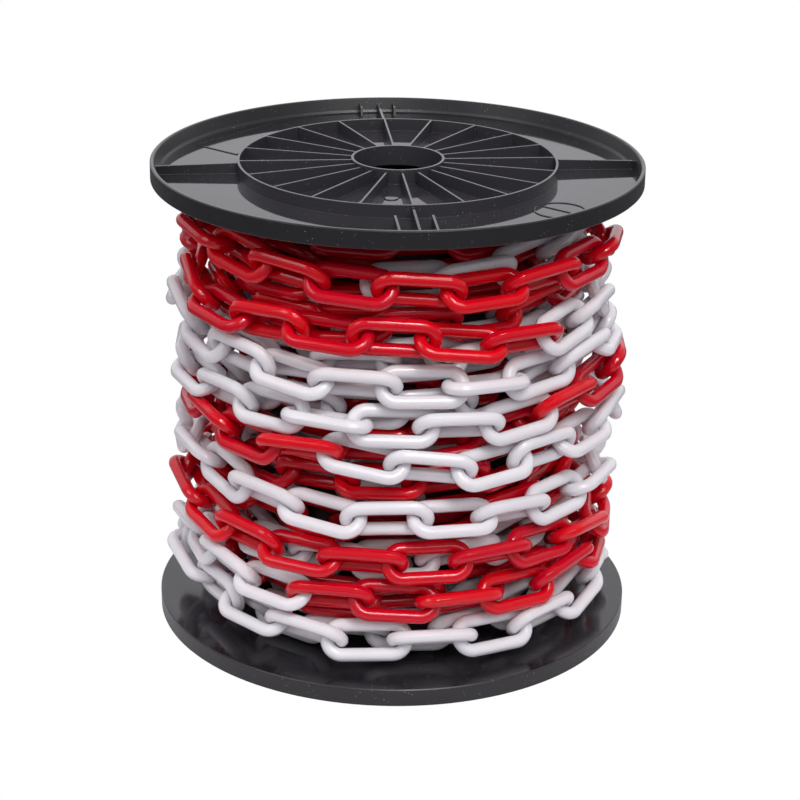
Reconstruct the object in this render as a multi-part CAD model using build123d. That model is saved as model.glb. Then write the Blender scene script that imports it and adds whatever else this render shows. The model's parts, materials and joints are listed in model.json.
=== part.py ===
"""Plastic reel wound with red and white link chain, standing on its lower flange.

Origin at the centre of the lower rim's resting face, +Z along the reel axis, +Y to the back,
where the free end of the chain hangs. All lengths are in millimetres.
"""

from build123d import *

import math
import os

import numpy as np
from scipy.spatial import cKDTree

# Reel
FLANGE_RADIUS = 150.5
REEL_HEIGHT = 296.0
WEB = 2.3  # thickness of a flange's disc
RIM_RISE = 8.9  # rim above the disc's outer face
RIM_TOP_WALL = 2.5
RIM_FOOT_WALL = 4.5
RIB_RISE = 7.9
RING_RADIUS = 97.8
RING_WALL = 1.4
BORE_RADIUS = 27.0
HUB_WALL = 1.5
HUB_RISE = RIM_RISE  # the hub's top is level with the rim
HUB_LIP = 1.2  # the bore's rim on the inner face
INNER_RIBS = 20
INNER_RIB_WALL = 1.2
OUTER_RIBS = 4
OUTER_RIB_WALL = 1.5
OUTER_RIB_RISE = (6.6, 5.2)  # at the ring and at the rim
RIB_TURN = 5.6  # degrees from the X axis to the first rib
STUB_WALL = 1.4
# Gusset stubs at the rim: the outer rib beside them, their distance to its left, where they
# start and how high they are
STUBS = (
    (1, 12.0, 132.0, 6.0),
    (1, -9.9, 132.0, 6.0),
    (3, 9.7, 112.0, 7.0),
    (3, -11.8, 112.0, 7.0),
)
STUB_SLOPE = 2.0  # of the stub's inner end, over its height
LABEL_LENGTH = 74.7
LABEL_WIDTH = 34.4
LABEL_RADIUS = 116.4
LABEL_ANGLE = 141.7
STAMP_RADIUS = 15.5
STAMP_REACH = 122.0
STAMP_ANGLE = -39.2
PIN_MARKS = 4  # round marks of the mould's ejector pins, between inner ribs
PIN_MARK_RADIUS = 4.3
PIN_MARK_REACH = 58.0
MARK_RISE = 0.5
MARK_WALL = 0.8

LOWER_FACE = RIM_RISE + WEB  # inner face of the lower flange
UPPER_FACE = REEL_HEIGHT - LOWER_FACE

# Barrel between the flanges, and the collar rings that it plugs on
BARREL_RADIUS = 77.0
BARREL_WALL = 2.5
COLLAR_GAP = 0.3
COLLAR_WALL = 2.5
COLLAR_HEIGHT = 16.0
SNAPS = 4
SNAP_WIDTH = 14.0
SNAP_HEIGHT = 5.0
SNAP_REACH = 1.6
SNAP_MIDDLE = 10.0  # from the flange's inner face
SLIT_WIDTH = 1.6
SLIT_STOP = 2.0  # the ring left whole above the slits
WINDOW_GAP = 0.5

# Chain link: a round wire bent into a stadium
WIRE = 8.0
LINK_LENGTH = 56.0
LINK_WIDTH = 26.0
BEND = (LINK_WIDTH - WIRE) / 2
STRAIGHT = LINK_LENGTH - LINK_WIDTH
GAP = 0.3  # least air between two wires
TAUT_PITCH = LINK_LENGTH - 2 * WIRE - GAP
LAID_PITCH = 39.3
SQUARING = 6  # links over which the chain turns square to its held ends

# Winding: each layer's radius, its turns, and how uneven it is
LAYERS = ((88.0, 10.7, 0.3), (107.0, 9.9, 0.6), (126.0, 9.0, 1.0))
LAYER_CROSSING = 0.3  # turns
LOWEST_ROW = LOWER_FACE + 13.4
HIGHEST_ROW = UPPER_FACE - 13.8
PATH_STEP = 1 / 720  # turns
FRONT_TURN = 0.449  # turns from the front to the outer layer's end
# Rise of each row of the outer layer at the front, from the top row down
ROW_RISE = (0.0, -6.0, -12.0, -5.0, 0.0, -11.0, -14.0, -9.0, -4.0)
# Slack places in the outer layer: turns before its end, turns wide, rise and outward shift
SLACK = (
    (0.62, 0.06, 3.0, 5.0),
    (1.30, 0.04, -6.0, 6.0),
    (1.55, 0.05, -5.0, 6.0),
    (2.17, 0.05, 12.0, 13.0),
    (2.66, 0.06, 9.0, 6.0),
    (3.20, 0.05, -6.0, 6.0),
    (3.69, 0.06, 4.0, 12.0),
    (4.40, 0.05, 5.0, 4.0),
    (4.69, 0.06, 4.0, 12.0),
    (5.18, 0.05, -8.0, 9.0),
    (5.50, 0.06, 4.0, 4.0),
    (6.20, 0.05, 6.0, 8.0),
    (6.66, 0.05, -6.0, 7.0),
    (7.21, 0.06, -6.0, 8.0),
    (7.66, 0.06, 7.0, 6.0),
    (8.10, 0.05, 6.0, 6.0),
    (8.68, 0.05, 11.0, 6.0),
)

# Uneven laying: rise and turns of a wave in height, degrees and links of a wave in twist
WANDER = ((2.2, 1.37), (1.6, 0.71))
TWIST = ((22.0, 9.3), (14.0, 5.7))
JITTER = 9.0  # degrees
SEED = 7

# Colours from the anchored end to the last wound link, in links
SECTIONS = (
    ("white", 28),
    ("red", 25),
    ("white", 25),
    ("red", 25),
    ("white", 25),
    ("red", 30),
    ("white", 11),
    ("red", 27),
    ("white", 29),
    ("red", 57),
    ("white", 12),
    ("red", 23),
    ("white", 32),
    ("red", 15),
    ("white", 8),
    ("red", 20),
    ("white", 33),
    ("red", 17),
    ("white", 41),
    ("red", 35),
)
WOUND_LINKS = sum(count for _, count in SECTIONS)
END_LINKS = 4
END_COLOUR = "red"

# Free end of the chain, hanging at the back
END_REACH = 153.0
END_LOWEST_CENTRE = 46.0
END_CURVE = 40.0
END_OUT_BY = math.radians(60)  # of the curve down, where the chain is over the edge
END_POINTS = 120

# Anchor: the lug on the barrel whose pin holds the first link
ANCHOR_LIFT = 3.0  # the first link lies flat out from the barrel, so it stands off further
PIN_RADIUS = 3.8
PIN_OVER_LINK = 4.0
LUG_RADIUS = 6.0

# Settling of the laid chain
PULL_ROUNDS = 130
RELIEF = 0.15  # outward ease after the pull, as a share of it
RELIEF_ENDS = 260
FREE_ROUNDS = 640
EAGER = 2.6  # share of each contact's push that a link takes, over its number of contacts
PULL = 0.06
SAG = 0.02
LARGEST_MOVE = 0.9  # of a link in one round
BEND_STEP = 18.0  # degrees between the tested points of a bend
SIDE_POINTS = 6
LOOK_AHEAD = 9.0  # how far off two wires are still watched
LOOK_ROUNDS = 6  # rounds between looks at which wires are near
LONG_REACH = 25.0  # from a link's centre to its ends, for the largest turn in one round
TURNING_INERTIA = (60.0, 250.0, 310.0)  # over mass, about the link's length, width and depth
PIN_GUARD = 12.0  # room kept round the anchor's pin
LUG_GUARD = 13.0  # and round its lug
BEHIND = 25.0  # degrees either side of the free end that stay clear of it
BEHIND_EASE = 25.0  # degrees
WALL_GAP = 0.15
CHAIN_WALL_GAP = 0.65
OUTER_LIMIT = 144.0
BACK_LIMIT = 134.5
NO_LIMIT = 1000.0
TINY = 1e-6


# ---------------------------------------------------------------- reel


def ring(outer, inner, low, high):
    """A plain ring between two heights."""
    height = high - low
    wall = Cylinder(outer, height) - Cylinder(inner, height + 2)
    return Pos(0, 0, (low + high) / 2) * wall


def rim():
    """The outer wall, thicker where it meets the disc."""
    top = RIM_RISE + WEB
    outline = Polyline(
        (FLANGE_RADIUS - RIM_FOOT_WALL - 1, 0),
        (FLANGE_RADIUS - 0.6, 0),
        (FLANGE_RADIUS, 0.6),
        (FLANGE_RADIUS, top - 0.6),
        (FLANGE_RADIUS - 0.6, top),
        (FLANGE_RADIUS - RIM_TOP_WALL + 0.6, top),
        (FLANGE_RADIUS - RIM_TOP_WALL, top - 0.6),
        (FLANGE_RADIUS - RIM_FOOT_WALL, WEB + 1.5),
        (FLANGE_RADIUS - RIM_FOOT_WALL - 1, WEB),
        close=True,
    )
    profile = Plane.XZ * make_face(outline)
    return revolve(profile, Axis.Z)


def rib(angle, start, end, wall, rise):
    """A radial rib standing on the disc."""
    length = end - start
    blade = Box(length, wall, rise + WEB / 2)
    middle = (start + end) / 2
    return Rot(0, 0, angle) * Pos(middle, 0, WEB / 2 + (rise + WEB / 2) / 2) * blade


def outer_rib(angle):
    """A radial rib from the ring to the rim, its top sloping down to the rim."""
    start, end = RING_RADIUS - RING_WALL / 2, FLANGE_RADIUS - RIM_TOP_WALL
    outline = Polyline(
        (start, WEB / 2),
        (end, WEB / 2),
        (end, WEB + OUTER_RIB_RISE[1]),
        (start, WEB + OUTER_RIB_RISE[0]),
        close=True,
    )
    return Rot(0, 0, angle) * extrude(Plane.XZ * make_face(outline), OUTER_RIB_WALL / 2, both=True)


def stub(angle, offset, start, rise):
    """A short gusset wall at the rim, beside an outer rib."""
    end = math.sqrt((FLANGE_RADIUS - RIM_TOP_WALL / 2) ** 2 - offset**2) - 0.3
    outline = Polyline(
        (start, WEB / 2),
        (end, WEB / 2),
        (end, WEB + rise),
        (start + STUB_SLOPE, WEB + rise),
        (start, WEB + 0.6),
        close=True,
    )
    blade = extrude(Plane.XZ * make_face(outline), STUB_WALL / 2, both=True)
    return Rot(0, 0, angle) * Pos(0, offset, 0) * blade


def ribs():
    """The rib pattern of a flange: twenty inside the ring, four out to the rim."""
    hub_outside = BORE_RADIUS + HUB_WALL
    blades = []
    for i in range(INNER_RIBS):
        angle = RIB_TURN + 360 * i / INNER_RIBS
        inner = (hub_outside - 1, RING_RADIUS - RING_WALL / 2)
        blades.append(rib(angle, *inner, INNER_RIB_WALL, RIB_RISE))
    outer_angles = [RIB_TURN + 360 * i / OUTER_RIBS for i in range(OUTER_RIBS)]
    blades += [outer_rib(angle) for angle in outer_angles]
    blades += [stub(outer_angles[i], *place) for i, *place in STUBS]
    return blades


def label_frame():
    """The raised frame of a blank label field."""
    outside = Box(LABEL_WIDTH, LABEL_LENGTH, MARK_RISE + WEB / 2)
    wall = 2 * MARK_WALL
    inside = Box(LABEL_WIDTH - wall, LABEL_LENGTH - wall, MARK_RISE + WEB)
    frame = Pos(LABEL_RADIUS, 0, WEB / 2 + (MARK_RISE + WEB / 2) / 2) * (outside - inside)
    return Rot(0, 0, LABEL_ANGLE) * frame


def stamp():
    """The mould stamp: a small raised circle with a plain bar."""
    low, high = WEB / 2, WEB + MARK_RISE
    circle = ring(STAMP_RADIUS, STAMP_RADIUS - MARK_WALL, low, high)
    bar = Pos(0, 0, (low + high) / 2) * Box(2 * STAMP_RADIUS - 1, MARK_WALL, high - low)
    return Rot(0, 0, STAMP_ANGLE) * Pos(STAMP_REACH, 0, 0) * (circle + bar)


def pin_marks():
    """Low round pads on the disc, midway between inner ribs."""
    height = MARK_RISE + WEB / 2
    pad = Pos(PIN_MARK_REACH, 0, WEB / 2 + height / 2) * Cylinder(PIN_MARK_RADIUS, height)
    middle = RIB_TURN - 180 / INNER_RIBS
    return [Rot(0, 0, middle + 360 * i / PIN_MARKS) * pad for i in range(PIN_MARKS)]


def collar():
    """The ring under the inner face, with a barbed tongue between two slits at each snap."""
    outside = BARREL_RADIUS - BARREL_WALL - COLLAR_GAP
    wall = ring(outside, outside - COLLAR_WALL, -COLLAR_HEIGHT, 0)
    slit = Box(3 * COLLAR_WALL, SLIT_WIDTH, COLLAR_HEIGHT)
    barb_outline = Polyline(
        (outside - COLLAR_WALL / 2, -SNAP_MIDDLE + SNAP_HEIGHT / 2),
        (outside + SNAP_REACH, -SNAP_MIDDLE + SNAP_HEIGHT / 2),
        (outside + SNAP_REACH, -SNAP_MIDDLE + SNAP_HEIGHT / 4),
        (outside - COLLAR_WALL / 2, -SNAP_MIDDLE - SNAP_HEIGHT / 2),
        close=True,
    )
    barb = extrude(Plane.XZ * make_face(barb_outline), SNAP_WIDTH / 2, both=True)
    for i in range(SNAPS):
        turn = Rot(0, 0, snap_angle(i))
        for side in (-1, 1):
            place = Pos(outside, side * (SNAP_WIDTH + SLIT_WIDTH) / 2, -COLLAR_HEIGHT / 2 - SLIT_STOP)
            wall -= turn * place * slit
        wall += turn * barb
    return wall


def snap_angle(i):
    """Where snap i stands round the axis."""
    return 360 * i / SNAPS


def flange():
    """One flange with its outer face up and the disc's inner face at z = 0."""
    body = Pos(0, 0, WEB / 2) * Cylinder(FLANGE_RADIUS - RIM_FOOT_WALL / 2, WEB)
    low, high = 0, WEB + RIB_RISE
    body += rim()
    body += ring(RING_RADIUS, RING_RADIUS - RING_WALL, low, high)
    body += ring(BORE_RADIUS + HUB_WALL, BORE_RADIUS - 1, -HUB_LIP, WEB + HUB_RISE)
    body += ribs()
    body += label_frame()
    body += stamp()
    body += pin_marks()
    return body - Cylinder(BORE_RADIUS, 4 * LOWER_FACE)


def barrel(anchor):
    """The tube between the flanges, with windows for the snaps and the chain's anchor."""
    height = UPPER_FACE - LOWER_FACE - 2 * WALL_GAP
    middle = REEL_HEIGHT / 2
    tube = Cylinder(BARREL_RADIUS, height) - Cylinder(BARREL_RADIUS - BARREL_WALL, height)
    tube = Pos(0, 0, middle) * tube
    window = Box(
        4 * BARREL_WALL,
        SNAP_WIDTH + 2 * WINDOW_GAP,
        SNAP_HEIGHT + 2 * WINDOW_GAP,
    )
    for i in range(SNAPS):
        for z in (LOWER_FACE + SNAP_MIDDLE, UPPER_FACE - SNAP_MIDDLE):
            tube -= Rot(0, 0, snap_angle(i)) * Pos(BARREL_RADIUS, 0, z) * window
    return tube + anchor_lug(anchor)


def anchor_lug(anchor):
    """A lug out from the barrel's foot, and the pin on it that stands in the first link."""
    reach = math.hypot(anchor[0], anchor[1])
    turn = math.degrees(math.atan2(anchor[1], anchor[0]))
    low = LOWER_FACE + 2 * WALL_GAP
    high = anchor[2] - WIRE / 2 - WALL_GAP
    start = BARREL_RADIUS - BARREL_WALL / 2
    middle = (low + high) / 2
    arm = Pos((start + reach) / 2, 0, middle) * Box(reach - start, 2 * LUG_RADIUS, high - low)
    head = Pos(reach, 0, middle) * Cylinder(LUG_RADIUS, high - low)
    top = anchor[2] + WIRE / 2 + PIN_OVER_LINK
    pin = Pos(reach, 0, (middle + top) / 2) * Cylinder(PIN_RADIUS, top - middle)
    return Rot(0, 0, turn) * (arm + head + pin)


# ---------------------------------------------------------------- chain path


def smooth(t):
    """0 to 1 with no corner at either end."""
    t = np.clip(t, 0, 1)
    return t * t * (3 - 2 * t)


def wound_path():
    """Points along the winding, from the barrel to the outer layer's end at the back."""
    radius, height, uneven = [], [], []
    step = PATH_STEP
    for i, (layer_radius, turns, unevenness) in enumerate(LAYERS):
        part = np.arange(0, turns, step) / turns
        if i % 2:
            part = 1 - part
        height.append(LOWEST_ROW + (HIGHEST_ROW - LOWEST_ROW) * part)
        radius.append(np.full(len(part), layer_radius))
        uneven.append(np.full(len(part), unevenness))
        if i + 1 < len(LAYERS):
            crossing = smooth(np.arange(0, LAYER_CROSSING, step) / LAYER_CROSSING)
            height.append(np.full(len(crossing), height[-1][-1]))
            radius.append(layer_radius + (LAYERS[i + 1][0] - layer_radius) * crossing)
            uneven.append(unevenness + (LAYERS[i + 1][2] - unevenness) * crossing)
    radius, height, uneven = (np.concatenate(each) for each in (radius, height, uneven))
    from_end = (len(radius) - np.arange(len(radius))) * step
    from_start = np.arange(len(radius)) * step
    radius = radius + ANCHOR_LIFT * (1 - smooth(from_start / LAYER_CROSSING))
    for size, turns in WANDER:
        height = height + uneven * size * np.sin(2 * math.pi * from_start / turns)
    at_front = FRONT_TURN + np.arange(len(ROW_RISE))
    outer = smooth((len(ROW_RISE) + LAYER_CROSSING - from_end) / LAYER_CROSSING)
    height = height + outer * np.interp(from_end, at_front, ROW_RISE)
    for place, width, rise, outward in SLACK:
        bump = np.exp(-(((from_end - place) / width) ** 2))
        height = height + rise * bump
        radius = radius + outward * bump
    leave = math.pi / 2 + math.asin(END_CURVE / LAYERS[-1][0])
    angle = leave + 2 * math.pi * from_end
    return np.stack([radius * np.cos(angle), radius * np.sin(angle), height], axis=1)


def end_path():
    """Points from the outer layer over its edge and straight down, at the back."""
    bend = np.linspace(0, math.pi / 2, END_POINTS)
    start = math.sqrt(LAYERS[-1][0] ** 2 - END_CURVE**2)
    x = END_CURVE * (np.sin(bend) - 1)
    z = HIGHEST_ROW - END_CURVE * (1 - np.cos(bend))
    y = start + (END_REACH - start) * smooth(bend / END_OUT_BY)
    drop = np.arange(z[-1] - 1, END_LOWEST_CENTRE - LINK_LENGTH, -1.0)
    line = np.stack([0 * drop, END_REACH + 0 * drop, drop], axis=1)
    return np.concatenate([np.stack([x, y, z], axis=1), line])


def lay_links():
    """Each link's centre and axes along the path, from the anchored link to the free one."""
    path = np.concatenate([wound_path(), end_path()])[::-1]
    length = np.r_[0, np.cumsum(np.linalg.norm(np.diff(path, axis=0), axis=1))]
    hanging = int(HIGHEST_ROW - END_CURVE - END_LOWEST_CENTRE)
    first = np.interp(END_LOWEST_CENTRE, path[:hanging, 2], length[:hanging])
    count = WOUND_LINKS + END_LINKS
    pitch = np.full(count, LAID_PITCH)
    pitch[: END_LINKS + 1] = TAUT_PITCH
    place = first + np.r_[0, np.cumsum(pitch)][:count]

    def along(at):
        return np.stack([np.interp(at, length, path[:, i]) for i in range(3)], axis=1)

    centre = along(place)
    tangent = along(place + LINK_LENGTH / 3) - along(place - LINK_LENGTH / 3)
    tangent /= np.linalg.norm(tangent, axis=1)[:, None]
    outward = centre * (1, 1, 0)
    outward -= np.sum(outward * tangent, axis=1)[:, None] * tangent
    outward /= np.linalg.norm(outward, axis=1)[:, None]
    side = np.cross(tangent, outward)
    index = np.arange(count)
    from_free = END_LINKS + SQUARING - index
    from_anchor = index - count + SQUARING
    square = smooth(from_free / (SQUARING - 1)) + smooth(from_anchor / (SQUARING - 1))
    twist = sum(size * np.sin(2 * math.pi * index / links) for size, links in TWIST)
    twist += np.random.default_rng(SEED).uniform(-JITTER, JITTER, count)
    roll = np.where(index % 2, 45.0, 135.0) - 45 * square + twist * (1 - square)
    roll = np.radians(roll)[:, None]
    width = np.cos(roll) * outward + np.sin(roll) * side
    axes = np.stack([tangent, width, np.cross(tangent, width)], axis=2)
    return centre[::-1], axes[::-1]


# ---------------------------------------------------------------- settling


def wire_points():
    """Points round the middle of a link's wire, in the link's own axes."""
    turn = np.radians(np.arange(-90 + BEND_STEP / 2, 90, BEND_STEP))
    mean_radius = BEND * 2 / (1 + math.cos(math.radians(BEND_STEP / 2)))
    bend = np.stack([STRAIGHT / 2 + mean_radius * np.cos(turn), mean_radius * np.sin(turn)], axis=1)
    along = np.linspace(STRAIGHT / 2, -STRAIGHT / 2, SIDE_POINTS)
    side = np.stack([along, np.full(SIDE_POINTS, BEND)], axis=1)
    half = np.concatenate([bend, side])
    return np.c_[np.concatenate([half, -half]), np.zeros(2 * len(half))]


def turned(axes, turn):
    """Axes after a small rotation, kept square."""
    angle = np.linalg.norm(turn, axis=1)[:, None, None]
    unit = turn / np.maximum(angle[:, 0], TINY)
    k = np.zeros((len(turn), 3, 3))
    k[:, 0, 1], k[:, 0, 2], k[:, 1, 2] = -unit[:, 2], unit[:, 1], -unit[:, 0]
    k[:, 1, 0], k[:, 2, 0], k[:, 2, 1] = unit[:, 2], -unit[:, 1], unit[:, 0]
    spin = np.eye(3) + np.sin(angle) * k + (1 - np.cos(angle)) * (k @ k)
    axes = spin @ axes
    x = axes[:, :, 0] / np.linalg.norm(axes[:, :, 0], axis=1)[:, None]
    z = np.cross(x, axes[:, :, 1])
    z /= np.linalg.norm(z, axis=1)[:, None]
    return np.stack([x, np.cross(z, x), z], axis=2)


def nearest(a, b, c, d):
    """The nearest points of segments a-b and c-d."""
    u, v, w = b - a, d - c, a - c
    uu, vv, uv = (u * u).sum(1), (v * v).sum(1), (u * v).sum(1)
    uw, vw = (u * w).sum(1), (v * w).sum(1)
    spread = np.maximum(uu * vv - uv * uv, TINY)
    s = np.clip((uv * vw - uw * vv) / spread, 0, 1)
    t = np.clip((uv * s + vw) / vv, 0, 1)
    s = np.clip((uv * t - uw) / uu, 0, 1)
    return a + s[:, None] * u, c + t[:, None] * v


def near_pairs(start, end, reach):
    """Pairs of wire segments on different links whose middles are within reach."""
    per_link = start.shape[1]
    middle = ((start + end) / 2).reshape(-1, 3)
    pairs = cKDTree(middle).query_pairs(reach, output_type="ndarray")
    pairs = pairs[pairs[:, 0] // per_link != pairs[:, 1] // per_link]
    return pairs[np.lexsort((pairs[:, 1], pairs[:, 0]))]


def wall_contacts(points, limit, guards, free_of_guards):
    """Points past a wall: their link, position, the way out and how deep they are."""
    link = np.repeat(np.arange(len(points)), points.shape[1])
    p = points.reshape(-1, 3)
    radial = np.hypot(p[:, 0], p[:, 1])
    out = p * (1, 1, 0) / radial[:, None]
    up = np.broadcast_to((0.0, 0.0, 1.0), p.shape)
    reach = WIRE / 2 + CHAIN_WALL_GAP
    most = np.repeat(limit, points.shape[1])
    tests = [
        (out, BARREL_RADIUS + reach - radial),
        (-out, radial - most),
        (up, LOWER_FACE + reach - p[:, 2]),
        (-up, p[:, 2] + reach - UPPER_FACE),
    ]
    for place, radius in guards:
        away = p - place
        distance = np.linalg.norm(away, axis=1)
        depth = np.where(np.repeat(free_of_guards, points.shape[1]), 0, radius - distance)
        tests.append((away / distance[:, None], depth))
    normal = np.concatenate([n[depth > 0] for n, depth in tests])
    where = np.concatenate([p[depth > 0] for _, depth in tests])
    who = np.concatenate([link[depth > 0] for _, depth in tests])
    deep = np.concatenate([depth[depth > 0] for _, depth in tests])
    return who, where, normal, deep


def outer_limits(centre):
    """How far from the axis each link's wire may lie: nearer behind the free end."""
    angle = np.degrees(np.abs(np.arctan2(centre[:, 0], centre[:, 1])))
    behind = smooth((BEHIND + BEHIND_EASE - angle) / BEHIND_EASE)
    behind = np.where(centre[:, 2] > HIGHEST_ROW - WIRE * 1.5, 0, behind)
    limit = OUTER_LIMIT + (BACK_LIMIT - OUTER_LIMIT) * behind
    limit[0] = NO_LIMIT
    limit[-END_LINKS - SQUARING :] = NO_LIMIT
    return limit


def wire_contacts(start, end, pairs):
    """Wires nearer than they may be: two links, two points, the way apart and how deep."""
    per_link = start.shape[1]
    low, high = start.reshape(-1, 3), end.reshape(-1, 3)
    one, two = pairs[:, 0], pairs[:, 1]
    p, q = nearest(low[one], high[one], low[two], high[two])
    between = p - q
    distance = np.linalg.norm(between, axis=1)
    hit = distance < WIRE + GAP
    way = between[hit] / np.maximum(distance[hit], TINY)[:, None]
    return one[hit] // per_link, two[hit] // per_link, p[hit], q[hit], way, (WIRE + GAP - distance)[hit]


def give(axes, loose, body, at, push):
    """How readily a link gives at a point, and its turn for a unit push there."""
    lever = np.cross(at, push)
    own = np.einsum("nji,nj->ni", axes[body], lever) / TURNING_INERTIA
    turn = np.einsum("nij,nj->ni", axes[body], own)
    return loose[body] * (1 + (lever * turn).sum(1)), turn


def add_up(who, each, count):
    """The sum of each link's vectors."""
    return np.stack([np.bincount(who, each[:, i], count) for i in range(3)], axis=1)


def held_down(vectors, reach):
    """The vectors, none of them moving a point at that reach further than allowed."""
    length = np.linalg.norm(vectors, axis=1) * reach / LARGEST_MOVE
    return vectors / np.maximum(length, 1)[:, None]


def push_apart(centre, axes, loose, wires, walls):
    """Each link's shift and turn that eases its contacts with wires and walls."""
    count = len(centre)
    one, two, p, q, way, deep = wires
    give_one, turn_one = give(axes, loose, one, p - centre[one], way)
    give_two, turn_two = give(axes, loose, two, q - centre[two], way)
    size = (deep / np.maximum(give_one + give_two, TINY))[:, None]
    link_at, at, out, sunk = walls
    give_wall, turn_wall = give(axes, loose, link_at, at - centre[link_at], out)
    force = (sunk * loose[link_at] / np.maximum(give_wall, TINY))[:, None]
    shift = add_up(one, size * way, count) - add_up(two, size * way, count)
    shift += add_up(link_at, force * out, count)
    spin = add_up(one, size * turn_one, count) - add_up(two, size * turn_two, count)
    spin += add_up(link_at, force * turn_wall, count)
    contacts = np.bincount(np.concatenate([one, two, link_at]), minlength=count)
    share = (loose * EAGER / np.maximum(contacts, EAGER))[:, None]
    return held_down(shift * share, 1), held_down(spin * share, LONG_REACH)


def settle(centre, axes):
    """Pull the chain in until its links rest on each other, no two of them overlapping."""
    centre, axes = centre.copy(), axes.copy()
    local = wire_points()
    loose = np.ones(len(centre))
    loose[0] = 0
    loose[-END_LINKS - 1 :] = 0
    near_anchor = np.arange(len(centre)) < 2
    anchor = centre[0]
    guards = [
        (anchor + (0, 0, PIN_OVER_LINK / 2), PIN_GUARD),
        (np.array([anchor[0], anchor[1], LOWER_FACE + LUG_RADIUS]), LUG_GUARD),
    ]
    limit = outer_limits(centre)
    for step in range(PULL_ROUNDS + FREE_ROUNDS):
        strength = max(-RELIEF, 1 - step / PULL_ROUNDS) if step < RELIEF_ENDS else 0
        inward = -centre * (1, 1, 0)
        inward /= np.linalg.norm(inward, axis=1)[:, None]
        centre += strength * (PULL * inward - (0, 0, SAG)) * loose[:, None]
        start = centre[:, None] + np.einsum("nij,mj->nmi", axes, local)
        end = np.roll(start, -1, axis=1)
        if step % LOOK_ROUNDS == 0:
            pairs = near_pairs(start, end, WIRE + GAP + LOOK_AHEAD)
        wires = wire_contacts(start, end, pairs)
        walls = wall_contacts(start, limit, guards, near_anchor)
        shift, spin = push_apart(centre, axes, loose, wires, walls)
        centre += shift
        axes = turned(axes, spin)
    return centre, axes


# ---------------------------------------------------------------- chain solids


def link():
    """One link, its wire a half ring at each end joined by two rods."""
    section = Pos(0, BEND, 0) * (Plane.YZ * Circle(WIRE / 2))
    half = revolve(section, Axis.Z, -180)
    half = Pos(STRAIGHT / 2, 0, 0) * half
    rod = extrude(Plane.YZ * Circle(WIRE / 2), STRAIGHT / 2, both=True)
    rods = Pos(0, BEND, 0) * rod + Pos(0, -BEND, 0) * rod
    return half + mirror(half, Plane.YZ) + rods


def placed(shape, centre, axes):
    """The shape moved to a link's place."""
    plane = Plane(origin=tuple(centre), x_dir=tuple(axes[:, 0]), z_dir=tuple(axes[:, 2]))
    return plane.location * shape


def save(shape, name):
    export_step(shape, f"parts/{name}.step")


def main():
    os.makedirs("parts", exist_ok=True)
    centre, axes = settle(*lay_links())
    top = Pos(0, 0, UPPER_FACE)
    bottom = Pos(0, 0, LOWER_FACE) * Rot(180, 0, 0)
    save(top * flange(), "upper_flange")
    save(top * collar(), "upper_collar")
    save(bottom * flange(), "lower_flange")
    save(bottom * collar(), "lower_collar")
    save(barrel(centre[0]), "barrel")
    one = link()
    first = 0
    for number, (colour, count) in enumerate(SECTIONS, 1):
        places = range(first, first + count)
        solids = [placed(one, centre[i], axes[i]) for i in places]
        save(Compound(children=solids), f"{colour}_chain_section_{number:02d}")
        first += count
    for number in range(1, END_LINKS + 1):
        save(placed(one, centre[first], axes[first]), f"{END_COLOUR}_end_link_{number}")
        first += 1


if __name__ == "__main__":
    main()
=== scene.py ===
"""Looks for a plastic reel wound with red and white link chain.

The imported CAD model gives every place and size. The reel's nodes keep their CAD meshes and get
moulded black plastic; each run of chain is remade from its links' own places with a finer link.
"""

import json
import math

import bpy
import numpy as np
from mathutils import Matrix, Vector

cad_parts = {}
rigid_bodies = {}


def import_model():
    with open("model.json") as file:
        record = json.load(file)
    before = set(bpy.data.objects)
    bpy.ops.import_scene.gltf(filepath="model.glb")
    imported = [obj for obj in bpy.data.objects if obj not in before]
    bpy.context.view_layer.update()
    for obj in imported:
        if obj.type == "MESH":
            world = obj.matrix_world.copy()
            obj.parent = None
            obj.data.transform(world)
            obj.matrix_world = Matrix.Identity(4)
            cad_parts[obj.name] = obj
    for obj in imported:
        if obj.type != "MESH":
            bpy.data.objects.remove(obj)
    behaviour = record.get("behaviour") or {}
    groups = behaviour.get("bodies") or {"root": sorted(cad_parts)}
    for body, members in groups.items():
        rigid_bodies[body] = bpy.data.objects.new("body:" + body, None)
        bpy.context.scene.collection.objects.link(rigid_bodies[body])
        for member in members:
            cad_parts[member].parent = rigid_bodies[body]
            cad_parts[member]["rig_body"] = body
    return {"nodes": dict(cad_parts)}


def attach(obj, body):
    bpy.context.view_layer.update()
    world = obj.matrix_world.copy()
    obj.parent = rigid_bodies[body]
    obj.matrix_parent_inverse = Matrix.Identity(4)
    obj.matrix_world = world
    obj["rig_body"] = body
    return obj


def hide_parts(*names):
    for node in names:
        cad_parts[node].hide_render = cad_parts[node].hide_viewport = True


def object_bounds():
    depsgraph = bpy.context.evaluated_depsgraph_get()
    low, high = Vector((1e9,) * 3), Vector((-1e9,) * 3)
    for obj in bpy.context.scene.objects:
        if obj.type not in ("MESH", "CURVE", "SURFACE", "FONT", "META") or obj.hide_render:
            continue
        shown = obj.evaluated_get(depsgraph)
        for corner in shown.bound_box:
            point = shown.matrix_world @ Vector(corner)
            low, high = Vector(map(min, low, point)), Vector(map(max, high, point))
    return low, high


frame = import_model()
cad_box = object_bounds()

MM = 0.001
IMAGE_SIDE = 800

# Link, as in the CAD model
WIRE_RADIUS = 4.0 * MM
BEND_RADIUS = 9.0 * MM
HALF_STRAIGHT = 15.0 * MM
PARTING_RIDGE = 0.10 * MM
PARTING_HALF_ANGLE = 4.0  # degrees
FINE_LINK = (14, 3, 8)  # steps in a bend, in a straight, and from one parting line to the other
PLAIN_LINK = (8, 1, 4)
HIDDEN_RADIUS = 98.0 * MM  # links nearer the axis than this only show through gaps

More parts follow.
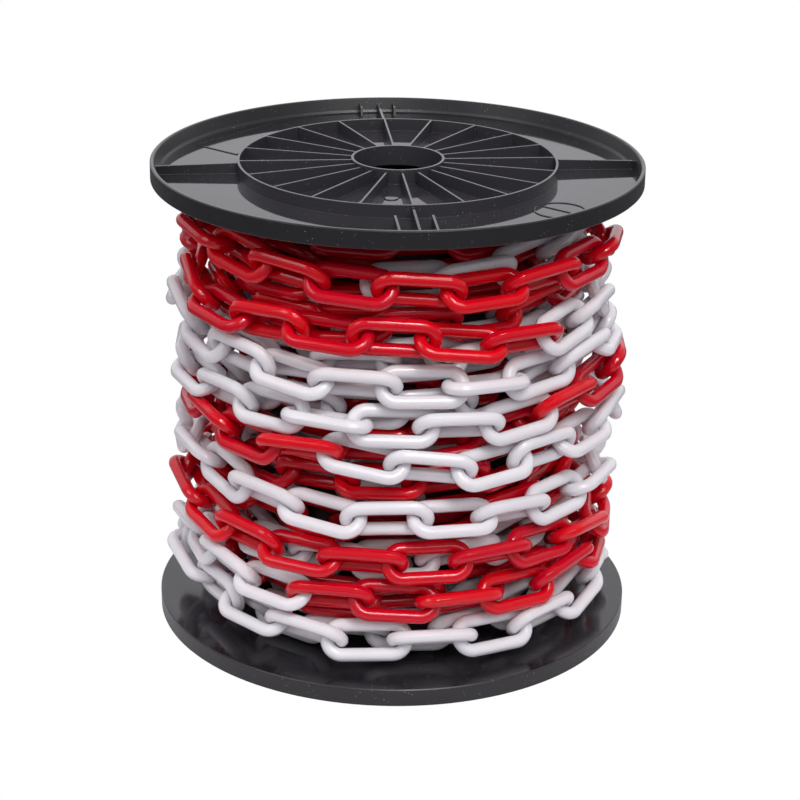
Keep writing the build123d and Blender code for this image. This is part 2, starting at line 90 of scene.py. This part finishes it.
# Camera
CAMERA_PLACE = (0.0056, -1.3303, 0.6647)
CAMERA_PITCH = 21.64  # degrees down
CAMERA_YAW = -0.09
CAMERA_ROLL = 0.86
FOCAL_PIXELS = 2252.0
SENSOR = 36.0

# Floor and room
FLOOR_HALF = 6.0  # metres
TABLE_SHADE = (0.80, 0.78, 0.82, 1)
FLOOR_SHADE = (0.12, 0.115, 0.125, 1)
TABLE_EDGE = (0.22, 0.50)  # from the reel's axis, where the table gives way to the darker floor
ROOM_TINT = (0.97, 0.96, 1.0, 1)
ROOM = (0.42, 1.05)  # how bright the room is in front and behind
ROOM_TURN = (-0.1, 0.75)  # how far back a direction points where that changes, -1 front to 1 back

# Lights: place, width and height, watts
LIGHTS = {
    "key": ((0.30, -1.15, 1.70), (0.32, 0.32), 8),
    "front_top": ((0.55, -1.55, 1.75), (1.5, 1.1), 23),
    "left_top": ((-1.4, -0.9, 1.5), (1.0, 1.0), 8),
}
LIT_POINT = (0, 0, 0.15)

# Black plastic
MIDDLE = (cad_box[0][2] + cad_box[1][2]) / 2  # height half way up the reel
PAINTED_RIM_SHADE_REACH = (0.098, 0.149)  # from the axis, where painted shade deepens the black towards the rim's outer wall
INSIDE_BLACK = (0.034, 0.0316, 0.038, 1)
# painted shade: a deeper black on the rim and outer flange, standing in for the dim light they get
RIM_PAINTED_SHADE_BLACK = (0.0085, 0.0078, 0.0095, 1)
CLOUD_BLACK = (0.03, 0.0285, 0.033, 1)
SCRATCH_GREY = (0.12, 0.115, 0.125, 1)
SPECK_GREY = (0.42, 0.41, 0.41, 1)
MIRROR_ROUGHNESS = (0.03, 0.07)  # the ribbed side's disc
INNER_ROUGHNESS = (0.07, 0.15)  # the side that the chain lies against
SATIN_ROUGHNESS = (0.30, 0.42)  # walls and ribs
FLAT_FACE = (0.85, 0.98)  # how upright a normal is where a wall turns into a flat face
EDGE_RADIUS = 0.35 * MM
GRAIN = 900.0  # noise and cells, per metre
CLOUD = 22.0
FLOW = 9.0
SPECKS = 420.0
SCRATCH_SCALE = (2600.0, 60.0, 400.0)
SCRATCH_TURNS = (0.5, 2.2)  # radians

# Chain plastic: two colours carrying painted light, between which links and places differ at random, and
# how it takes light
RED = {
    # painted shade and painted glow: a shaded crimson and a lit orange-red copy of one red, spread over
    # links at random
    "colours_with_painted_light": ((0.50, 0.0008, 0.018, 1), (0.74, 0.002, 0.008, 1)),
    "subsurface": 0.5,
    "radius": (7.0 * MM, 0.5 * MM, 0.4 * MM),
    "roughness": (0.07, 0.19),
    "shine": 0.42,
}
WHITE = {
    # the whites' own near-white, with green held low as painted pink bounce light from the red links
    "colours_with_painted_light": ((0.74, 0.715, 0.75, 1), (0.80, 0.775, 0.81, 1)),
    "subsurface": 0.75,
    "radius": (6.5 * MM, 5.6 * MM, 5.8 * MM),
    "roughness": (0.16, 0.28),
    "shine": 0.5,
}
CHAIN_CLOUD = 60.0  # noise, per metre
CHAIN_HANDLING = 180.0
CHAIN_PEEL = 420.0

rng = np.random.default_rng(11)


# ---------------------------------------------------------------- camera, floor and light


def add_camera():
    """The camera, looking down at the reel from the front."""
    pitch, yaw, roll = (math.radians(a) for a in (CAMERA_PITCH, CAMERA_YAW, CAMERA_ROLL))
    ahead = np.array([math.sin(yaw) * math.cos(pitch), math.cos(yaw) * math.cos(pitch), -math.sin(pitch)])
    level = np.array([math.cos(yaw), -math.sin(yaw), 0.0])
    above = np.cross(level, ahead)
    right = math.cos(roll) * level + math.sin(roll) * above
    up = math.cos(roll) * above - math.sin(roll) * level
    data = bpy.data.cameras.new("camera")
    data.sensor_width = SENSOR
    data.lens = FOCAL_PIXELS / IMAGE_SIDE * SENSOR
    data.clip_start = 0.01
    camera = bpy.data.objects.new("camera", data)
    bpy.context.scene.collection.objects.link(camera)
    columns = np.stack([right, up, -ahead], axis=1)
    camera.matrix_world = Matrix.Translation(CAMERA_PLACE) @ Matrix(columns.tolist()).to_4x4()
    bpy.context.scene.camera = camera


def add_floor():
    """A wide floor under the lower rim: plain white to the camera, a pale table to the light."""
    data = bpy.data.meshes.new("floor")
    corners = [(x * FLOOR_HALF, y * FLOOR_HALF, 0) for x, y in ((-1, -1), (1, -1), (1, 1), (-1, 1))]
    data.from_pydata(corners, [], [(0, 1, 2, 3)])
    floor = bpy.data.objects.new("floor", data)
    bpy.context.scene.collection.objects.link(floor)
    material, shader, tree = new_material("floor_white")
    away = add_node(tree, "ShaderNodeVectorMath", {0: place_in(tree)}, operation="LENGTH").outputs["Value"]
    shade = blend_colours(tree, spread(tree, away, *TABLE_EDGE), TABLE_SHADE, FLOOR_SHADE)
    tree.links.new(shade, shader.inputs["Base Color"])
    shader.inputs["Roughness"].default_value = 0.7
    plain = add_node(tree, "ShaderNodeEmission", {"Color": (1, 1, 1, 1), "Strength": 1.0}).outputs[0]
    seen = add_node(tree, "ShaderNodeLightPath").outputs["Is Camera Ray"]
    both = add_node(tree, "ShaderNodeMixShader", {0: seen, 1: shader.outputs[0], 2: plain})
    tree.links.new(both.outputs[0], tree.nodes["Material Output"].inputs["Surface"])
    data.materials.append(material)


def add_light(name, place, size, power):
    """A soft area light at place, facing the reel."""
    data = bpy.data.lights.new(name, "AREA")
    data.shape = "RECTANGLE"
    data.size, data.size_y = size
    data.energy = power
    light = bpy.data.objects.new(name, data)
    bpy.context.scene.collection.objects.link(light)
    back = np.array(place) - np.array(LIT_POINT)
    back /= np.linalg.norm(back)
    side = np.cross((0, 0, 1), back)
    side /= np.linalg.norm(side)
    columns = np.stack([side, np.cross(back, side), back], axis=1)
    light.matrix_world = Matrix.Translation(place) @ Matrix(columns.tolist()).to_4x4()


def add_room():
    """A room that is bright behind the reel and dim in front, and plain pale to the camera."""
    world = bpy.data.worlds.new("room")
    bpy.context.scene.world = world
    world.use_nodes = True
    tree = world.node_tree
    toward = add_node(tree, "ShaderNodeTexCoord").outputs["Generated"]
    back = add_node(tree, "ShaderNodeSeparateXYZ", {0: toward}).outputs[1]
    shade = tree.nodes["Background"]
    shade.inputs["Color"].default_value = ROOM_TINT
    seen = add_node(tree, "ShaderNodeLightPath").outputs["Is Camera Ray"]
    strength = math_node(tree, "MAXIMUM", spread(tree, back, *ROOM_TURN, *ROOM), seen)
    tree.links.new(strength, shade.inputs["Strength"])


# ---------------------------------------------------------------- materials


def new_material(name):
    """A material with its Principled shader and node tree."""
    material = bpy.data.materials.new(name)
    material.use_nodes = True
    return material, material.node_tree.nodes["Principled BSDF"], material.node_tree


def add_node(tree, kind, inputs=None, **settings):
    """A node with its settings and its input values or links."""
    node = tree.nodes.new(kind)
    for key, value in settings.items():
        setattr(node, key, value)
    for key, value in (inputs or {}).items():
        if isinstance(value, bpy.types.NodeSocket):
            tree.links.new(value, node.inputs[key])
        else:
            node.inputs[key].default_value = value
    return node


def place_in(tree):
    """The surface point in the part's frame."""
    return add_node(tree, "ShaderNodeTexCoord").outputs["Object"]


def noise(tree, scale, detail=3.0, roughness=0.5, vector=None):
    """A noise factor; scale is in waves per metre."""
    inputs = {"Vector": vector or place_in(tree), "Scale": scale, "Detail": detail, "Roughness": roughness}
    return add_node(tree, "ShaderNodeTexNoise", inputs).outputs[0]


def spread(tree, value, low, high, to_low=0.0, to_high=1.0):
    """The value moved from one range to another, and held there."""
    inputs = {0: value, 1: low, 2: high, 3: to_low, 4: to_high}
    return add_node(tree, "ShaderNodeMapRange", inputs).outputs[0]


def math_node(tree, operation, one, two):
    """One math operation."""
    return add_node(tree, "ShaderNodeMath", {0: one, 1: two}, operation=operation).outputs[0]


def blend_colours(tree, factor, one, two):
    """A colour between one and two."""
    node = add_node(tree, "ShaderNodeMix", data_type="RGBA")
    for key, value in ((0, factor), (6, one), (7, two)):
        if isinstance(value, bpy.types.NodeSocket):
            tree.links.new(value, node.inputs[key])
        else:
            node.inputs[key].default_value = value
    return node.outputs[2]


def chain_plastic(name, colours_with_painted_light, subsurface, radius, roughness, shine):
    """Glossy, slightly see-through moulded plastic; links and places differ at random between two given
    colours that carry painted light.
    """
    material, shader, tree = new_material(name)
    tone = add_node(tree, "ShaderNodeAttribute", attribute_name="tone").outputs["Fac"]
    by_link = math_node(tree, "MULTIPLY", tone, 0.6)
    by_place = math_node(tree, "MULTIPLY", noise(tree, CHAIN_CLOUD, 2.0), 0.4)
    mixed = math_node(tree, "ADD", by_link, by_place)
    # each link and place takes a colour between the two given colours, which carry painted light
    tree.links.new(blend_colours(tree, mixed, *colours_with_painted_light), shader.inputs["Base Color"])
    handled = noise(tree, CHAIN_HANDLING, 4.0, 0.6)
    tree.links.new(spread(tree, handled, 0.35, 0.7, *roughness), shader.inputs["Roughness"])
    shader.inputs["IOR"].default_value = 1.51
    shader.inputs["Specular IOR Level"].default_value = shine
    shader.inputs["Subsurface Weight"].default_value = subsurface
    shader.inputs["Subsurface Radius"].default_value = radius
    shader.inputs["Subsurface Scale"].default_value = 1.0
    peel = noise(tree, CHAIN_PEEL, 2.0)
    bump = add_node(tree, "ShaderNodeBump", {"Height": peel, "Strength": 0.10, "Distance": 0.2 * MM})
    tree.links.new(bump.outputs[0], shader.inputs["Normal"])
    return material


def reel_plastic():
    """Black moulded plastic: mirror-like disc on the ribbed side, satin walls, duller inner faces."""
    material, shader, tree = new_material("reel_black_plastic")
    point = place_in(tree)
    grain = noise(tree, GRAIN, 3.0, 0.6)
    cloud = noise(tree, CLOUD, 4.0, 0.6)
    marks = math_node(tree, "MAXIMUM", *(scratch_marks(tree, point, turn) for turn in SCRATCH_TURNS))
    tree.links.new(reel_colour(tree, point, cloud, marks), shader.inputs["Base Color"])
    tree.links.new(reel_roughness(tree, point, grain, cloud, marks), shader.inputs["Roughness"])
    tree.links.new(reel_bump(tree, grain, marks), shader.inputs["Normal"])
    shader.inputs["IOR"].default_value = 1.52
    return material


def reel_colour(tree, point, cloud, marks):
    """Black with painted shade that deepens it towards the rim, and faint clouds, scratches and specks."""
    across = add_node(tree, "ShaderNodeVectorMath", {0: point, 1: (1, 1, 0)}, operation="MULTIPLY")
    inputs = {0: across.outputs[0]}
    reach = add_node(tree, "ShaderNodeVectorMath", inputs, operation="LENGTH").outputs["Value"]
    dust = math_node(tree, "MULTIPLY", specks(tree, point), spread(tree, cloud, 0.34, 0.58))
    # painted shade: the black deepens from the axis towards the rim's outer wall
    base = blend_colours(tree, spread(tree, reach, *PAINTED_RIM_SHADE_REACH), INSIDE_BLACK, RIM_PAINTED_SHADE_BLACK)
    base = blend_colours(tree, math_node(tree, "MULTIPLY", cloud, 0.35), base, CLOUD_BLACK)
    base = blend_colours(tree, math_node(tree, "MULTIPLY", marks, 0.22), base, SCRATCH_GREY)
    return blend_colours(tree, dust, base, SPECK_GREY)


def reel_roughness(tree, point, grain, cloud, marks):
    """Smooth on the flat faces, smoothest on the ribbed side, and rougher where it is scratched."""
    height = add_node(tree, "ShaderNodeSeparateXYZ", {0: point}).outputs[2]
    facing = add_node(tree, "ShaderNodeTexCoord").outputs["Normal"]
    upward = add_node(tree, "ShaderNodeSeparateXYZ", {0: facing}).outputs[2]
    flat = spread(tree, math_node(tree, "ABSOLUTE", upward, 0.0), *FLAT_FACE)
    outward = math_node(tree, "MULTIPLY", math_node(tree, "SUBTRACT", height, MIDDLE), upward)
    ribbed = spread(tree, outward, -MM, MM)
    satin = spread(tree, grain, 0.3, 0.7, *SATIN_ROUGHNESS)
    mirror = spread(tree, cloud, 0.3, 0.7, *MIRROR_ROUGHNESS)
    inner = spread(tree, cloud, 0.3, 0.7, *INNER_ROUGHNESS)
    face = add_node(tree, "ShaderNodeMix", {0: ribbed, 2: inner, 3: mirror}).outputs[0]
    rough = add_node(tree, "ShaderNodeMix", {0: flat, 2: satin, 3: face}).outputs[0]
    return math_node(tree, "ADD", rough, math_node(tree, "MULTIPLY", marks, 0.2))


def reel_bump(tree, grain, marks):
    """Rounded edges, fine grain, shallow scratches and the slow waves of moulded plastic."""
    waves = math_node(tree, "MULTIPLY", noise(tree, FLOW, 2.0, 0.5), 30.0)
    fine = math_node(tree, "SUBTRACT", math_node(tree, "MULTIPLY", grain, 0.4), marks)
    relief = math_node(tree, "ADD", fine, waves)
    bump = add_node(tree, "ShaderNodeBump", {"Height": relief, "Strength": 0.12, "Distance": 0.05 * MM})
    edge = add_node(tree, "ShaderNodeBevel", {"Radius": EDGE_RADIUS}, samples=6)
    tree.links.new(edge.outputs[0], bump.inputs["Normal"])
    return bump.outputs[0]


def specks(tree, point):
    """Tiny pale specks, one in some cells of a grid about 2 mm wide."""
    cells = add_node(tree, "ShaderNodeTexVoronoi", {"Vector": point, "Scale": SPECKS, "Randomness": 1.0})
    near = spread(tree, cells.outputs["Distance"], 0.07, 0.12, 1.0, 0.0)
    chosen = add_node(tree, "ShaderNodeSeparateColor", {0: cells.outputs["Color"]}).outputs[0]
    return math_node(tree, "MULTIPLY", near, spread(tree, chosen, 0.35, 0.65))


def scratch_marks(tree, point, turn):
    """Thin scratches, long in one direction."""
    turned = {"Vector": point, "Rotation": (0, 0, turn), "Scale": SCRATCH_SCALE}
    space = add_node(tree, "ShaderNodeMapping", turned)
    return spread(tree, noise(tree, 1.0, 2.0, 0.5, space.outputs[0]), 0.71, 0.79)


# ---------------------------------------------------------------- chain


def link_mesh(bend_steps, straight_steps, half_steps):
    """Points and faces of one link in its own axes: length along x, width along y."""
    turn = np.radians(np.linspace(-90, 90, bend_steps + 1))
    bend = np.stack([HALF_STRAIGHT + BEND_RADIUS * np.cos(turn), BEND_RADIUS * np.sin(turn)], axis=1)
    out = np.stack([np.cos(turn), np.sin(turn)], axis=1)
    along = np.linspace(HALF_STRAIGHT, -HALF_STRAIGHT, straight_steps + 1)[1:-1]
    side = np.stack([along, np.full(len(along), BEND_RADIUS)], axis=1)
    half = np.concatenate([bend, side])
    half_out = np.concatenate([out, np.tile((0.0, 1.0), (len(along), 1))])
    path, outward = np.concatenate([half, -half]), np.concatenate([half_out, -half_out])
    steps = np.linspace(PARTING_HALF_ANGLE, 180 - PARTING_HALF_ANGLE, half_steps + 1)
    angle = np.radians(np.concatenate([[0], steps, [180], -steps[::-1]]))
    ridge = np.isclose(np.abs(np.sin(angle)), 0, atol=1e-6)
    reach = WIRE_RADIUS + PARTING_RIDGE * ridge
    across, lift = reach * np.cos(angle), reach * np.sin(angle)
    plane = path[:, None] + outward[:, None] * across[None, :, None]
    points = np.dstack([plane, np.broadcast_to(lift, plane.shape[:2])[:, :, None]])
    rings, around = points.shape[:2]
    i, j = np.meshgrid(np.arange(rings), np.arange(around), indexing="ij")
    i2, j2 = (i + 1) % rings, (j + 1) % around
    faces = np.stack([i * around + j, i2 * around + j, i2 * around + j2, i * around + j2], axis=-1)
    return points.reshape(-1, 3), faces.reshape(-1, 4)


def solids_in(node):
    """Each separate closed solid of a node: its points and triangles."""
    mesh = node.data
    mesh.calc_loop_triangles()
    co = np.empty(len(mesh.vertices) * 3, np.float32)
    mesh.vertices.foreach_get("co", co)
    tri = np.empty(len(mesh.loop_triangles) * 3, np.int32)
    mesh.loop_triangles.foreach_get("vertices", tri)
    co = co.reshape(-1, 3).astype(float)
    microns = np.round(co * 1e6).astype(np.int64)
    _, first, same = np.unique(microns, axis=0, return_index=True, return_inverse=True)
    tri = same.reshape(-1)[tri].reshape(-1, 3)
    co = co[first]
    label = np.arange(len(co))
    while True:
        least = label[tri].min(axis=1)
        new = label.copy()
        np.minimum.at(new, tri.reshape(-1), np.repeat(least, 3))
        new = new[new]
        if (new == label).all():
            break
        label = new
    for one in np.unique(label[tri[:, 0]]):
        yield co, tri[label[tri[:, 0]] == one]


def pose_of(co, tri):
    """A solid's centre of volume and its axes, longest first and thinnest last."""
    a, b, c = co[tri[:, 0]], co[tri[:, 1]], co[tri[:, 2]]
    origin = a.mean(axis=0)
    a, b, c = a - origin, b - origin, c - origin
    volume = np.einsum("ni,ni->n", a, np.cross(b, c)) / 6
    total = volume.sum()
    centre = ((a + b + c) * volume[:, None]).sum(axis=0) / 4 / total
    sums = a + b + c
    second = sum(np.einsum("n,ni,nj->ij", volume, p, p) for p in (a, b, c, sums)) / 20 / total
    spread_out = second - np.outer(centre, centre)
    _, vectors = np.linalg.eigh(spread_out)
    length, width = vectors[:, 2], vectors[:, 1]
    return origin + centre, np.stack([length, width, np.cross(length, width)], axis=1)


def build_chain(name, node, material):
    """One run of chain, every link of it placed where the node's solids are."""
    all_points, all_faces, all_tones = [], [], []
    start = 0
    for co, tri in solids_in(node):
        centre, axes = pose_of(co, tri)
        hidden = math.hypot(centre[0], centre[1]) < HIDDEN_RADIUS
        points, faces = PLAIN_MESH if hidden else FINE_MESH
        all_points.append(centre + points @ axes.T)
        all_faces.append(faces + start)
        all_tones.append(np.full(len(points), rng.uniform()))
        start += len(points)
    mesh = bpy.data.meshes.new(name)
    mesh.from_pydata(np.concatenate(all_points).tolist(), [], np.concatenate(all_faces).tolist())
    tone = mesh.attributes.new("tone", "FLOAT", "POINT")
    tone.data.foreach_set("value", np.concatenate(all_tones).astype(np.float32))
    mesh.shade_smooth()
    mesh.materials.append(material)
    piece = bpy.data.objects.new(name, mesh)
    bpy.context.scene.collection.objects.link(piece)
    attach(piece, node["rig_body"])
    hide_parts(node.name)


FINE_MESH = link_mesh(*FINE_LINK)
PLAIN_MESH = link_mesh(*PLAIN_LINK)


def main():
    bpy.context.scene.view_settings.view_transform = "Standard"
    add_camera()
    add_floor()
    for name, light in LIGHTS.items():
        add_light(name, *light)
    add_room()
    black = reel_plastic()
    red = chain_plastic("chain_red_plastic", **RED)
    white = chain_plastic("chain_white_plastic", **WHITE)
    for name, node in frame["nodes"].items():
        if name.startswith("red"):
            build_chain(f"{name}_look", node, red)
        elif name.startswith("white"):
            build_chain(f"{name}_look", node, white)
        else:
            node.data.materials.clear()
            node.data.materials.append(black)


main()
